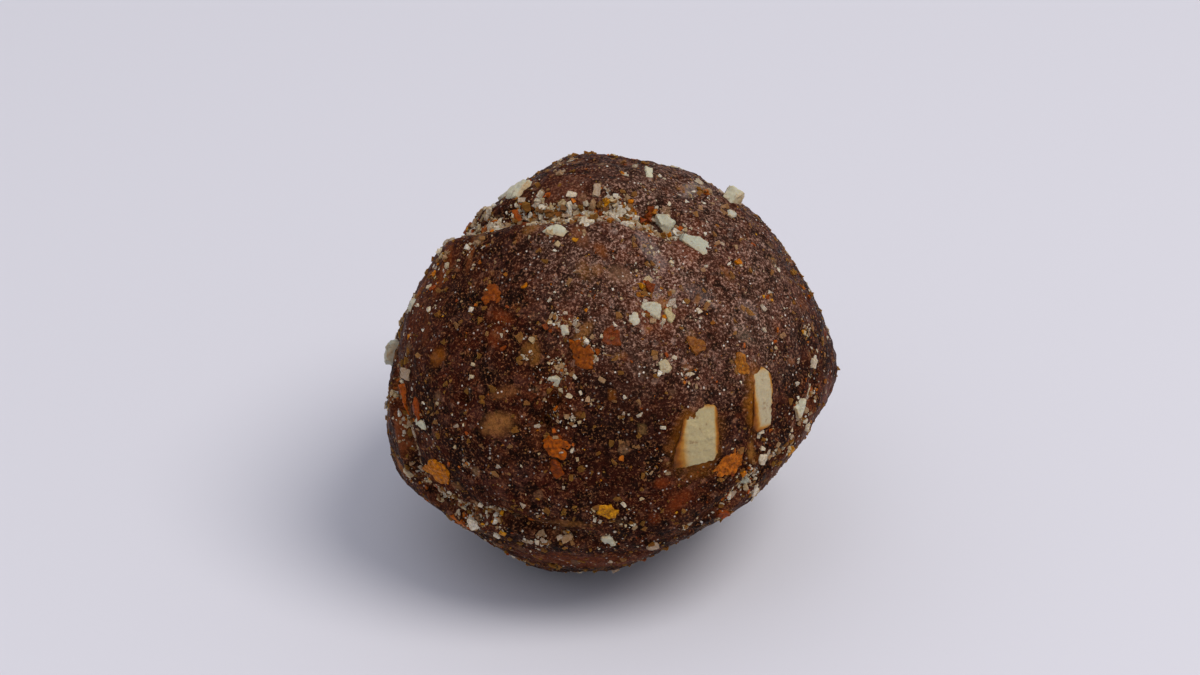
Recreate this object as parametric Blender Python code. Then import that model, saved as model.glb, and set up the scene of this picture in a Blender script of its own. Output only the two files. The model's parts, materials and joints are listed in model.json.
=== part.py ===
"""An energy ball: date paste rolled by hand, with chopped nuts, skin flakes and crumbs pressed in."""

import math
import random

import bmesh
import bpy
import numpy as np
from mathutils import Matrix, Vector, noise
from mathutils.bvhtree import BVHTree

MM = 0.001

# Sizes are in millimetres. A place on the ball is a bearing and a height in degrees, seen from
# its middle: bearing 0 is the front (-Y), 90 the right (+X), and height 90 the top.
HALF_WIDTH = 18.0
HALF_DEPTH = 17.3
HALF_HEIGHT = 16.7
MIDDLE = (-0.5, -0.2, 16.2)
BALL_DETAIL = 7
DOUGH_FACES = 4000
NODE = "energy_ball"

# Where the palms and the table pressed it: bearing, height, distance of the flat from the middle.
PRESSED = (
    (-112, 30, 14.85),
    (-124, 48, 15.1),
    (-92, 10, 16.35),
    (49, -50, 14.75),
    (70, -30, 15.9),
    (104, 26, 16.8),
    (128, 47, 16.15),
    (165, 60, 16.15),
    (-52, -48, 17.0),
    (8, -60, 16.3),
    (0, 4, 16.7),
    (28, 48, 16.5),
    (160, -8, 16.3),
    (-150, -20, 16.4),
)
PRESS_ROUNDING = 1.3

# Where it bulges: bearing, height, swell, half angle.
SWELLS = (
    (-74, -27, 0.75, 9),
    (84, -12, 0.6, 17),
    (-165, 60, 0.35, 12),
    (-20, 84, 0.35, 14),
    (40, 10, 0.35, 22),
    (-40, 5, 0.3, 24),
    (150, 20, 0.4, 20),
)

# Where two folds of the paste meet: the path, depth, half width and the lip beside it.
TOP_FOLD = ((-118, 30), (-96, 42), (-77, 54), (-59, 65), (-45, 69), (-27, 72), (-4, 74),
            (18, 73), (34, 69), (46, 62), (56, 54))
LEFT_SEAM = ((-80, 16), (-66, 8), (-58, 0), (-55, -10), (-52, -17), (-40, -18), (-26, -16),
             (-12, -19), (4, -22))
RIGHT_SEAM = ((76, 14), (66, 9), (58, 3), (52, -3), (42, -5), (34, -10), (25, -18), (14, -25))
FRONT_CRACK = ((-13, 39), (-11, 33), (-13, 26), (-14, 19), (-16, 13), (-14, 6))
BACK_FOLD = ((150, 52), (168, 38), (-172, 22), (-156, 10), (-138, 2), (-120, -8))
BACK_SEAM = ((110, -14), (128, -20), (148, -18), (166, -26), (-172, -32))
SEAMS = (
    (TOP_FOLD, 1.5, 1.2, 0.45),
    (LEFT_SEAM, 0.7, 0.65, 0.35),
    (RIGHT_SEAM, 0.45, 0.65, 0.25),
    (FRONT_CRACK, 0.5, 0.6, 0.08),
    (BACK_FOLD, 0.75, 0.8, 0.25),
    (BACK_SEAM, 0.4, 0.65, 0.2),
)
SEAM_POINTS = 60
SEAM_FADE = 0.16

# Small holes: bearing, height, depth, half width.
PITS = (
    (-38, 15, 0.7, 0.5),
    (-14, 20, 0.8, 0.55),
    (-16, 14, 0.8, 0.6),
    (-50, 66, 0.45, 0.7),
    (132, 8, 0.5, 0.6),
    (-118, 12, 0.45, 0.6),
)

# Uneven surface: size of a lump across and how far it stands out.
LUMPS = ((7.0, 0.22), (2.6, 0.13))

# Chopped nuts that show: bearing, height, length, width, how far out, turn, taper.
NUTS = (
    (24, 9, 6.0, 4.0, 0.16, -8, 0.45),
    (43, 14, 5.2, 2.2, 0.16, -12, 0.25),
    (99, 54, 1.9, 1.5, 1.2, 30, 0.25),
    (-79, 9, 2.5, 1.7, 0.75, 8, 0.2),
    (-88, 67, 2.8, 1.9, 0.35, 60, 0.2),
    (50, 57, 2.9, 2.0, 0.35, 34, 0.6),
    (47, 67, 1.8, 1.5, 0.4, 60, 0.2),
    (-29, 63, 2.4, 1.0, 0.2, 95, 0.3),
    (-65, 57, 2.2, 1.0, 0.2, 70, 0.2),
    (17, 43, 1.9, 1.5, 0.22, 50, 0.3),
    (10, 41, 1.2, 1.0, 0.18, 20, 0.2),
    (23, 41, 1.4, 1.1, 0.2, -30, 0.2),
    (17, 28, 1.3, 1.1, 0.2, 15, 0.1),
    (100, 78, 2.4, 0.9, 0.15, 65, 0.3),
    (81, 55, 1.0, 0.9, 0.25, 0, 0.2),
    (56, 6, 1.6, 1.3, 0.3, 20, 0.2),
    (38, -8, 1.1, 0.9, 0.2, 50, 0.2),
    (1, -22, 1.3, 1.1, 0.25, 10, 0.2),
    (-51, 4, 1.6, 0.9, 0.3, 80, 0.3),
    (-70, 28, 1.3, 0.8, 0.25, 10, 0.3),
    (-14, 25, 1.6, 0.9, 0.15, 65, 0.3),
    (-13, 38, 1.0, 0.8, 0.2, 20, 0.1),
)

# Flakes of brown skin: bearing, height, length, width, turn.
FLAKES = (
    (-41, 42, 1.7, 1.5, 20),
    (-6, 32, 2.3, 1.7, 35),
    (2, 37, 1.5, 1.4, 0),
    (-15, 8, 2.6, 2.5, 70),
    (-12, 2, 1.5, 0.9, 20),
    (-46, -8, 2.7, 2.4, -30),
    (-44, -25, 1.9, 1.4, 15),
    (-53, 7, 1.8, 0.9, 10),
    (-60, 6, 2.4, 1.0, 15),
    (32, 0, 2.7, 1.8, -40),
    (39, 24, 1.7, 1.0, 0),
    (28, 32, 1.5, 1.2, 30),
    (1, -11, 1.7, 1.3, 80),
)
FLAKE_THICKNESS = 0.6
FLAKE_STAND = 0.12

# How far from the middle of a piece its sides and its top are cut, as shares of its size.
NUT_SIDES = 7
CRUMB_SIDES = 5
SIDE_CUT = (0.42, 0.62)
TOP_CUT = (0.44, 0.52)

# What the photograph can't show is given pieces of the same kinds and sizes.
HIDDEN_NUTS = 18
VIEWED_FROM = (0, 30)
SEEN_EDGE = -0.05
HIDDEN_NUT_SIZE = (1.2, 4.2)
HIDDEN_NUT_STAND = (0.1, 0.35)
HIDDEN_FLAKES = 10
HIDDEN_FLAKE_SIZE = (1.2, 2.4)
NUT_SLENDER = (0.5, 0.85)
CRUMB_SLENDER = (0.6, 0.9)
NUT_TAPER = 0.3
CRUMB_TAPER = 0.2
FOLD_CRUMBS = 28
FOLD_SPREAD = 0.8
SEAM_CRUMBS = 7
SEAM_SPREAD = 1.0
HIDDEN_CRUMBS = 20
CRUMB_SIZE = (0.6, 1.15)
CRUMB_DEEP = 0.7
CRUMB_STAND = 0.22
SKIN_SHARE = 0.25

# How the pieces are placed: the seed, the tries for each, the space between two, how far above
# the table they stay, and how wide a patch of the surface they lie level with.
SEED = 36
TRIES = 60
PIECE_GAP = 0.15
LOWEST_PIECE = 1.6
LOWEST_SINE = -0.85
LEVEL_REACH = 0.5

# Linear colour and roughness of each material.
DOUGH = ((0.052, 0.021, 0.013), 0.6)
NUT_FLESH = ((0.55, 0.50, 0.34), 0.5)
NUT_SKIN = ((0.29, 0.085, 0.015), 0.55)
SHARP_ANGLE = 35


def toward(bearing, height):
    """The unit vector of a bearing and a height."""
    b = math.radians(bearing)
    h = math.radians(height)
    return np.array((math.sin(b) * math.cos(h), -math.cos(b) * math.cos(h), math.sin(h)))


def smooth_path(places):
    """Evenly spaced unit vectors along a smooth curve through the places."""
    knots = np.array([toward(*place) for place in places])
    spans = len(knots) - 1
    path = []
    for step in np.linspace(0, spans, SEAM_POINTS):
        i = min(int(step), spans - 1)
        t = step - i
        before, a, b, after = knots[max(i - 1, 0)], knots[i], knots[i + 1], knots[min(i + 2, spans)]
        bend = 2 * before - 5 * a + 4 * b - after
        turn = 3 * a - before - 3 * b + after
        point = a + 0.5 * ((b - before) * t + bend * t * t + turn * t ** 3)
        path.append(point / np.linalg.norm(point))
    return np.array(path)


def swell(out, radius):
    """Adds the bulges to the radius along each direction."""
    for bearing, height, amount, spread in SWELLS:
        angle = np.degrees(np.arccos(np.clip(out @ toward(bearing, height), -1, 1)))
        radius = radius + amount * np.exp(-(angle / spread) ** 2)
    return radius


def press(out, radius):
    """Cuts the radius back to each pressed flat, with a rounded edge between them."""
    for bearing, height, distance in PRESSED:
        flat = distance / np.maximum(out @ toward(bearing, height), MM)
        share = np.clip(0.5 + 0.5 * (flat - radius) / PRESS_ROUNDING, 0, 1)
        radius = flat * (1 - share) + radius * share - PRESS_ROUNDING * share * (1 - share)
    return radius


def crease(out, radius):
    """Sinks each seam into the surface and raises the lip on its near side."""
    for places, depth, width, lip in SEAMS:
        path = smooth_path(places)
        along = np.gradient(path, axis=0)
        side = np.cross(path, along)
        side /= np.linalg.norm(side, axis=1)[:, None]
        closeness = out @ path.T
        nearest = closeness.argmax(axis=1)
        gap = np.arccos(np.clip(closeness.max(axis=1), -1, 1)) * HALF_HEIGHT
        gap *= np.sign((out * side[nearest]).sum(axis=1))
        to_end = np.minimum(nearest, SEAM_POINTS - 1 - nearest) / (SEAM_FADE * SEAM_POINTS)
        groove = -depth * np.exp(-(gap / width) ** 2)
        ridge = lip * np.exp(-((gap + 1.9 * width) / (1.4 * width)) ** 2)
        radius = radius + np.minimum(1, to_end) * (groove + ridge)
    return radius


def pit(out, radius):
    """Sinks the small holes."""
    for bearing, height, depth, width in PITS:
        gap = np.arccos(np.clip(out @ toward(bearing, height), -1, 1)) * HALF_HEIGHT
        radius = radius - depth * np.exp(-(gap / width) ** 2)
    return radius


def roughen(out, radius):
    """Adds the lumps of the paste."""
    for size, height in LUMPS:
        bumps = [noise.noise(Vector(way * HALF_HEIGHT / size)) for way in out]
        radius = radius + height * np.array(bumps)
    return radius


def ball_radius(out):
    """How far the surface is from the middle along each unit vector."""
    half = np.array((HALF_WIDTH, HALF_DEPTH, HALF_HEIGHT))
    radius = 1 / np.sqrt(((out / half) ** 2).sum(axis=1))
    for change in (swell, press, crease, pit, roughen):
        radius = change(out, radius)
    return radius


def plain_material(name, colour, roughness):
    """A material of one colour."""
    material = bpy.data.materials.new(name)
    material.use_nodes = True
    shader = material.node_tree.nodes["Principled BSDF"]
    shader.inputs["Base Color"].default_value = (*colour, 1)
    shader.inputs["Roughness"].default_value = roughness
    shader.inputs["Metallic"].default_value = 0
    return material


def object_from(shape, name, collection, material):
    """Puts a finished bmesh into the scene as an object."""
    mesh = bpy.data.meshes.new(name)
    shape.to_mesh(mesh)
    shape.free()
    mesh.materials.append(material)
    made = bpy.data.objects.new(name, mesh)
    collection.objects.link(made)
    return made


def dough_ball(collection, material):
    """The rolled paste: a sphere pushed out to the form, thinned, and cut flat where it rests."""
    ball = bmesh.new()
    bmesh.ops.create_icosphere(ball, subdivisions=BALL_DETAIL, radius=1)
    out = np.array([vert.co.normalized() for vert in ball.verts])
    for vert, way, radius in zip(ball.verts, out, ball_radius(out)):
        vert.co = Vector(way * radius + MIDDLE) * MM
    faces = len(ball.faces)
    made = object_from(ball, NODE, collection, material)
    thin = made.modifiers.new("thin", "DECIMATE")
    thin.ratio = DOUGH_FACES / faces
    apply_modifiers(made)
    rest = bmesh.new()
    rest.from_mesh(made.data)
    everything = rest.verts[:] + rest.edges[:] + rest.faces[:]
    bmesh.ops.bisect_plane(rest, geom=everything, plane_no=(0, 0, -1), clear_outer=True)
    bmesh.ops.holes_fill(rest, edges=rest.edges)
    bmesh.ops.triangulate(rest, faces=rest.faces)
    rest.to_mesh(made.data)
    rest.free()
    return made


def apply_modifiers(made):
    """Makes the evaluated mesh the object's own."""
    graph = bpy.context.evaluated_depsgraph_get()
    shaped = bpy.data.meshes.new_from_object(made.evaluated_get(graph))
    made.modifiers.clear()
    made.data = shaped


def chopped(length, width, thickness, taper, sides, draw):
    """An angular chopped piece: a block cut to an uneven outline, with a slanting top."""
    piece = bmesh.new()
    bmesh.ops.create_cube(piece, size=1)
    cuts = []
    for side in range(sides):
        angle = 2 * math.pi * (side + draw.uniform(-0.35, 0.35)) / sides
        cuts.append((math.cos(angle), math.sin(angle), draw.uniform(-0.25, 0.25), draw.uniform(*SIDE_CUT)))
    cuts.append((draw.uniform(-0.5, 0.5), draw.uniform(-0.5, 0.5), 1, draw.uniform(*TOP_CUT)))
    for x, y, z, reach in cuts:
        way = Vector((x, y, z)).normalized()
        everything = piece.verts[:] + piece.edges[:] + piece.faces[:]
        bmesh.ops.bisect_plane(
            piece, geom=everything, plane_co=way * reach, plane_no=way, clear_outer=True
        )
        bmesh.ops.holes_fill(piece, edges=piece.edges)
    for vert in piece.verts:
        narrow = 1 - taper * (vert.co.y + 0.5)
        vert.co = Vector((vert.co.x * width * narrow, vert.co.y * length, vert.co.z * thickness))
    bmesh.ops.triangulate(piece, faces=piece.faces)
    return piece


def seat(piece, surface, place, reach, depth, turn):
    """Bends a piece to the ball and lays it level with the surface around a place."""
    for vert in piece.verts:
        vert.co.z -= (vert.co.x ** 2 + vert.co.y ** 2) / (2 * HALF_HEIGHT)
    out = Vector(toward(*place))
    middle = Vector(MIDDLE) * MM
    point = surface.ray_cast(middle + out * 2 * HALF_WIDTH * MM, -out)[0]
    around = surface.find_nearest_range(point, max(reach, LEVEL_REACH) * MM)
    normal = sum((face[1] for face in around), Vector()).normalized()
    up = Vector((0, 0, 1)) - normal * normal.z
    up = up.normalized() if up.length > 0.05 else Vector((0, 1, 0))
    frame = Matrix((up.cross(normal), up, normal)).transposed()
    frame = frame @ Matrix.Rotation(math.radians(turn), 3, "Z")
    place_in_ball = Matrix.Translation(point - normal * depth * MM) @ (frame * MM).to_4x4()
    bmesh.ops.transform(piece, matrix=place_in_ball, verts=piece.verts)


class Toppings:
    """Lays pieces on the ball one after another and keeps them clear of each other."""

    def __init__(self, ball, collection):
        self.surface = BVHTree.FromPolygons(
            [vert.co for vert in ball.data.vertices],
            [face.vertices for face in ball.data.polygons],
        )
        self.collection = collection
        self.draw = random.Random(SEED)
        self.taken = []

    def is_free(self, place, reach):
        out = toward(*place)
        low = MIDDLE[2] + HALF_HEIGHT * out[2] < LOWEST_PIECE + reach
        gaps = [math.acos(min(1, out @ other)) * HALF_HEIGHT - far for other, far in self.taken]
        return not low and min(gaps, default=reach + 1) > reach + PIECE_GAP

    def lay(self, kind, material, place, length, width, thickness, stand, turn, taper, sides):
        piece = chopped(length, width, thickness, taper, sides, self.draw)
        seat(piece, self.surface, place, width / 2, thickness / 2 - stand, turn)
        self.taken.append((toward(*place), math.hypot(length, width) / 2))
        object_from(piece, f"{kind}_{len(self.taken):03d}", self.collection, material)

    def lay_nut(self, material, place, length, width, stand, turn, taper):
        thickness = max(1.3 * stand + 0.7, 0.5 * width)
        self.lay("nut", material, place, length, width, thickness, stand, turn, taper, NUT_SIDES)

    def scatter(self, number, sizes, pick_place, lay_one):
        """Lays a number of pieces, largest first, where the ball is still free."""
        for size in sorted((self.draw.uniform(*sizes) for _ in range(number)), reverse=True):
            for _ in range(TRIES):
                place = pick_place(self.draw)
                if self.is_free(place, size / 2):
                    lay_one(place, size)
                    break


def anywhere(draw):
    """A place on the whole ball, even over its surface."""
    return draw.uniform(-180, 180), math.degrees(math.asin(draw.uniform(LOWEST_SINE, 1)))


def hidden(draw):
    """A place that the photograph's view doesn't show."""
    place = anywhere(draw)
    while toward(*place) @ toward(*VIEWED_FROM) > SEEN_EDGE:
        place = anywhere(draw)
    return place


def along(places, spread):
    """A rule that gives places beside a seam."""
    path = smooth_path(places)

    def pick(draw):
        out = path[draw.randrange(SEAM_POINTS)]
        out = out + np.array([draw.gauss(0, spread) for _ in range(3)]) / HALF_HEIGHT
        out /= np.linalg.norm(out)
        bearing = math.degrees(math.atan2(out[0], -out[1]))
        return bearing, math.degrees(math.asin(out[2]))

    return pick


def lay_toppings(ball, collection, nut, skin):
    """Every chopped nut, flake and large crumb."""
    toppings = Toppings(ball, collection)
    draw = toppings.draw

    def any_nut(place, size):
        width = size * draw.uniform(*NUT_SLENDER)
        stand = draw.uniform(*HIDDEN_NUT_STAND)
        toppings.lay_nut(nut, place, size, width, stand, draw.uniform(0, 180), NUT_TAPER)

    def flake(place, length, width, turn):
        sizes = (length, width, FLAKE_THICKNESS, FLAKE_STAND)
        toppings.lay("flake", skin, place, *sizes, turn, CRUMB_TAPER, NUT_SIDES)

    def any_flake(place, size):
        flake(place, size, size * draw.uniform(*CRUMB_SLENDER), draw.uniform(0, 180))

    def any_crumb(place, size):
        material = skin if draw.random() < SKIN_SHARE else nut
        width = size * draw.uniform(*CRUMB_SLENDER)
        turn = draw.uniform(0, 180)
        sizes = (size, width, CRUMB_DEEP * size, CRUMB_STAND)
        toppings.lay("crumb", material, place, *sizes, turn, CRUMB_TAPER, CRUMB_SIDES)

    for bearing, height, *rest in NUTS:
        toppings.lay_nut(nut, (bearing, height), *rest)
    toppings.scatter(HIDDEN_NUTS, HIDDEN_NUT_SIZE, hidden, any_nut)
    for bearing, height, *rest in FLAKES:
        flake((bearing, height), *rest)
    toppings.scatter(HIDDEN_FLAKES, HIDDEN_FLAKE_SIZE, hidden, any_flake)
    toppings.scatter(FOLD_CRUMBS, CRUMB_SIZE, along(TOP_FOLD, FOLD_SPREAD), any_crumb)
    for seam in (LEFT_SEAM, RIGHT_SEAM, BACK_FOLD, BACK_SEAM):
        toppings.scatter(SEAM_CRUMBS, CRUMB_SIZE, along(seam, SEAM_SPREAD), any_crumb)
    toppings.scatter(HIDDEN_CRUMBS, CRUMB_SIZE, hidden, any_crumb)


def fuse(ball, toppings):
    """Joins the toppings to the ball and keeps the one outer skin."""
    join = ball.modifiers.new("join", "BOOLEAN")
    join.operation = "UNION"
    join.operand_type = "COLLECTION"
    join.collection = toppings
    join.solver = "EXACT"
    join.material_mode = "TRANSFER"
    apply_modifiers(ball)
    for piece in toppings.objects[:]:
        bpy.data.objects.remove(piece)
    whole = bmesh.new()
    whole.from_mesh(ball.data)
    shells = shells_of(whole)
    for shell in sorted(shells, key=len)[:-1]:
        bmesh.ops.delete(whole, geom=shell, context="VERTS")
    bmesh.ops.triangulate(whole, faces=whole.faces)
    whole.to_mesh(ball.data)
    whole.free()


def shells_of(shape):
    """The mesh's separate skins, as lists of their vertices."""
    left = set(shape.verts)
    shells = []
    while left:
        reached = [left.pop()]
        for vert in reached:
            found = [edge.other_vert(vert) for edge in vert.link_edges]
            found = [other for other in found if other in left]
            left.difference_update(found)
            reached.extend(found)
        shells.append(reached)
    return shells


for old in bpy.data.objects[:]:
    bpy.data.objects.remove(old)
parts = bpy.data.collections.new("energy_ball")
bpy.context.scene.collection.children.link(parts)
helpers = bpy.data.collections.new("toppings")
bpy.context.scene.collection.children.link(helpers)

dough = plain_material("date_paste", *DOUGH)
nut_flesh = plain_material("nut_flesh", *NUT_FLESH)
nut_skin = plain_material("nut_skin", *NUT_SKIN)
energy_ball = dough_ball(parts, dough)
lay_toppings(energy_ball, helpers, nut_flesh, nut_skin)
fuse(energy_ball, helpers)
bpy.data.collections.remove(helpers)
energy_ball.data.shade_smooth()
energy_ball.data.set_sharp_from_angle(angle=math.radians(SHARP_ANGLE))
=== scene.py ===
"""The looks of an energy ball: date paste with chopped nuts, skin flakes, crumbs and fine grains."""
import json
import math
import random

import bmesh
import bpy
import numpy as np
from mathutils import Matrix, Vector, noise
from mathutils.bvhtree import BVHTree

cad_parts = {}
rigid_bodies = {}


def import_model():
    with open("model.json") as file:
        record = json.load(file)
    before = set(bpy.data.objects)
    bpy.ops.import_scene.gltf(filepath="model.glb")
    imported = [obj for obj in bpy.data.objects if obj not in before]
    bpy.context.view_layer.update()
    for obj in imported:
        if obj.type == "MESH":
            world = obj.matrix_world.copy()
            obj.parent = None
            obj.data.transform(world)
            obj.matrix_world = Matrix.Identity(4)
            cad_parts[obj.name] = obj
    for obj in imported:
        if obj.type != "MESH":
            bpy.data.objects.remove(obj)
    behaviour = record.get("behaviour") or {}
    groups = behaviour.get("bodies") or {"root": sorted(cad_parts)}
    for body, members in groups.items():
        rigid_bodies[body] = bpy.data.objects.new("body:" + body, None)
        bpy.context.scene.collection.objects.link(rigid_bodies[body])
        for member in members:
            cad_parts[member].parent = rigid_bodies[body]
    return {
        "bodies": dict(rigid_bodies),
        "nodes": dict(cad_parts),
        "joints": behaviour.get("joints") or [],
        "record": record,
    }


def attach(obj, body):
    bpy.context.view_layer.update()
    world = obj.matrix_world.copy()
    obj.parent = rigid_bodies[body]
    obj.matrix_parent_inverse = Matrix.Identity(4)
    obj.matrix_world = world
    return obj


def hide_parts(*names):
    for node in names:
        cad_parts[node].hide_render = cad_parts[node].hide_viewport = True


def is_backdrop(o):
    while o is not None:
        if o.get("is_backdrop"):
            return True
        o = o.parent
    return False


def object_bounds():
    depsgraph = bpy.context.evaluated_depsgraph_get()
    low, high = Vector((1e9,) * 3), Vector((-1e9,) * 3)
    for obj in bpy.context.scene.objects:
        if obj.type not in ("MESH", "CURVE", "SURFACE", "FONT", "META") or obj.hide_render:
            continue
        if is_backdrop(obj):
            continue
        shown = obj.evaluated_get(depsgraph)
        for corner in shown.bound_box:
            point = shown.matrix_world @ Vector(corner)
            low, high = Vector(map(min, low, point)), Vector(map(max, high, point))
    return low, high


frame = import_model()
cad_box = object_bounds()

# Date paste. Stoned dates ground to a sticky dark brown mass and rolled between the palms, which
# leaves rounded flats, and folds where the paste didn't close. Sizes are in millimetres, and a
# place on the ball is a bearing and a height in degrees seen from its middle (bearing 0 is -Y).

MM = 0.001
TINY = 0.001
BALL_SIZE = (36.0, 34.6, 33.4)
MIDDLE = (-0.5, -0.2, 16.2)
REACH = BALL_SIZE[2] / 2
GRID_CUTS = 127

# Flats from the palms: bearing, height, distance from the middle.
PRESSED = (
    (-112, 30, 14.85),
    (-124, 48, 15.1),
    (-92, 10, 16.35),
    (49, -50, 14.75),
    (70, -30, 15.9),
    (104, 26, 16.8),
    (128, 47, 16.15),
    (165, 60, 16.15),
    (-52, -48, 17.0),
    (8, -60, 16.3),
    (0, 4, 16.7),
    (28, 48, 16.5),
    (160, -8, 16.3),
    (-150, -20, 16.4),
)
PRESS_ROUNDING = 1.3

# Bulges: bearing, height, how far out, spread in degrees.
SWELLS = (
    (-74, -27, 0.75, 9),
    (84, -12, 0.6, 17),
    (-165, 60, 0.35, 12),
    (-20, 84, 0.35, 14),
    (40, 10, 0.35, 22),
    (-40, 5, 0.3, 24),
    (150, 20, 0.4, 20),
)

# Folds and cracks: places along each, then its depth, its width, and how far its lip stands up.
TOP_FOLD = ((-118, 30), (-96, 42), (-77, 54), (-59, 65), (-45, 69), (-27, 72), (-4, 74),
            (18, 73), (34, 69), (46, 62), (56, 54))
LEFT_SEAM = ((-80, 16), (-66, 8), (-58, 0), (-55, -10), (-52, -17), (-40, -18), (-26, -16),
             (-12, -19), (4, -22))
RIGHT_SEAM = ((76, 14), (66, 9), (58, 3), (52, -3), (42, -5), (34, -10), (25, -18), (14, -25))
FRONT_CRACK = ((-13, 39), (-11, 33), (-13, 26), (-14, 19), (-16, 13), (-14, 6))
BACK_FOLD = ((150, 52), (168, 38), (-172, 22), (-156, 10), (-138, 2), (-120, -8))
BACK_SEAM = ((110, -14), (128, -20), (148, -18), (166, -26), (-172, -32))
SEAMS = (
    (TOP_FOLD, 1.5, 1.2, 0.45),
    (LEFT_SEAM, 0.7, 0.65, 0.35),
    (RIGHT_SEAM, 0.45, 0.65, 0.25),
    (FRONT_CRACK, 0.5, 0.6, 0.08),
    (BACK_FOLD, 0.75, 0.8, 0.25),
    (BACK_SEAM, 0.4, 0.65, 0.2),
)
SEAM_POINTS = 60
SEAM_FADE = 0.16
LIP_OUT = 1.9
LIP_WIDTH = 1.4

# Small holes: bearing, height, depth, width.
PITS = (
    (-38, 15, 0.7, 0.5),
    (-14, 20, 0.8, 0.55),
    (-16, 14, 0.8, 0.6),
    (-50, 66, 0.45, 0.7),
    (132, 8, 0.5, 0.6),
    (-118, 12, 0.45, 0.6),
)

# Unevenness, each the size of its lumps and their height. Crags are only beside the seams.
LUMPS = ((7.0, 0.22), (2.6, 0.13))
GRAIN = ((1.5, 0.12), (0.75, 0.12), (0.45, 0.07))
CRAGS = ((0.9, 0.2), (0.5, 0.14))
CRAG_REACH = 1.3


def toward(bearing, height):
    """The unit vector of a bearing and a height."""
    b = math.radians(bearing)
    h = math.radians(height)
    return np.array((math.sin(b) * math.cos(h), -math.cos(b) * math.cos(h), math.sin(h)))


def place_of(out):
    """The bearing and the height of a direction."""
    return math.degrees(math.atan2(out[0], -out[1])), math.degrees(math.asin(out[2]))


def smooth_path(places):
    """Evenly spaced unit vectors along a smooth curve through the places."""
    knots = np.array([toward(*place) for place in places])
    spans = len(knots) - 1
    path = []
    for step in np.linspace(0, spans, SEAM_POINTS):
        i = min(int(step), spans - 1)
        t = step - i
        before, a, b, after = knots[max(i - 1, 0)], knots[i], knots[i + 1], knots[min(i + 2, spans)]
        bend = 2 * before - 5 * a + 4 * b - after
        turn = 3 * a - before - 3 * b + after
        point = a + 0.5 * ((b - before) * t + bend * t * t + turn * t ** 3)
        path.append(point / np.linalg.norm(point))
    return np.array(path)


def gap_to(out, place):
    """How far each direction's surface point is from a place, in millimetres along the ball."""
    return np.arccos(np.clip(out @ toward(*place), -1, 1)) * REACH


def gap_to_seam(out, places):
    """The signed distance to a seam, positive on its far side, and how fully the seam is there."""
    path = smooth_path(places)
    along = np.gradient(path, axis=0)
    side = np.cross(path, along)
    closeness = out @ path.T
    nearest = closeness.argmax(axis=1)
    gap = np.arccos(np.clip(closeness.max(axis=1), -1, 1)) * REACH
    gap *= np.sign((out * side[nearest]).sum(axis=1))
    to_end = np.minimum(nearest, SEAM_POINTS - 1 - nearest) / (SEAM_FADE * SEAM_POINTS)
    return gap, np.minimum(1, to_end)


def bumps(out, size):
    """Smooth noise over the ball with lumps of a size across."""
    return np.array([noise.noise(Vector(way * REACH / size)) for way in out])


def rolled_form(out):
    """How far the surface is from the middle along each direction, and how crumbly it is there."""
    radius = 1 / np.sqrt(((out / (np.array(BALL_SIZE) / 2)) ** 2).sum(axis=1))
    for bearing, height, amount, spread in SWELLS:
        angle = np.degrees(gap_to(out, (bearing, height)) / REACH)
        radius += amount * np.exp(-(angle / spread) ** 2)
    for bearing, height, distance in PRESSED:
        flat = distance / np.maximum(out @ toward(bearing, height), TINY)
        share = np.clip(0.5 + 0.5 * (flat - radius) / PRESS_ROUNDING, 0, 1)
        radius = flat * (1 - share) + radius * share - PRESS_ROUNDING * share * (1 - share)
    crumbly = np.zeros(len(out))
    for places, depth, width, lip in SEAMS:
        gap, there = gap_to_seam(out, places)
        groove = -depth * np.exp(-(gap / width) ** 2)
        ridge = lip * np.exp(-((gap + LIP_OUT * width) / (LIP_WIDTH * width)) ** 2)
        radius += there * (groove + ridge)
        crumbly = np.maximum(crumbly, there * np.exp(-(gap / CRAG_REACH) ** 2))
    for bearing, height, depth, width in PITS:
        radius -= depth * np.exp(-(gap_to(out, (bearing, height)) / width) ** 2)
    for size, height in LUMPS:
        radius += height * bumps(out, size)
    for size, height in CRAGS:
        radius += height * crumbly * bumps(-out, size)
    return radius, crumbly


def smoothstep(low, high, value):
    """0 up to the low end, 1 from the high end, and a smooth rise between."""
    share = np.clip((value - low) / (high - low), 0, 1)
    return share * share * (3 - 2 * share)


def rgb(colour):
    """An sRGB hex colour as linear values."""
    parts = [int(colour[i:i + 2], 16) / 255 for i in (1, 3, 5)]
    return [c / 12.92 if c <= 0.04045 else ((c + 0.055) / 1.055) ** 2.4 for c in parts]


def give_attribute(mesh, name, values):
    """Writes a number or a colour with a weight for each vertex."""
    values = np.asarray(values, dtype=np.float32)
    kind, field = ("FLOAT", "value") if values.ndim == 1 else ("FLOAT_COLOR", "color")
    mesh.attributes.new(name, kind, "POINT").data.foreach_set(field, values.ravel())


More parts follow.
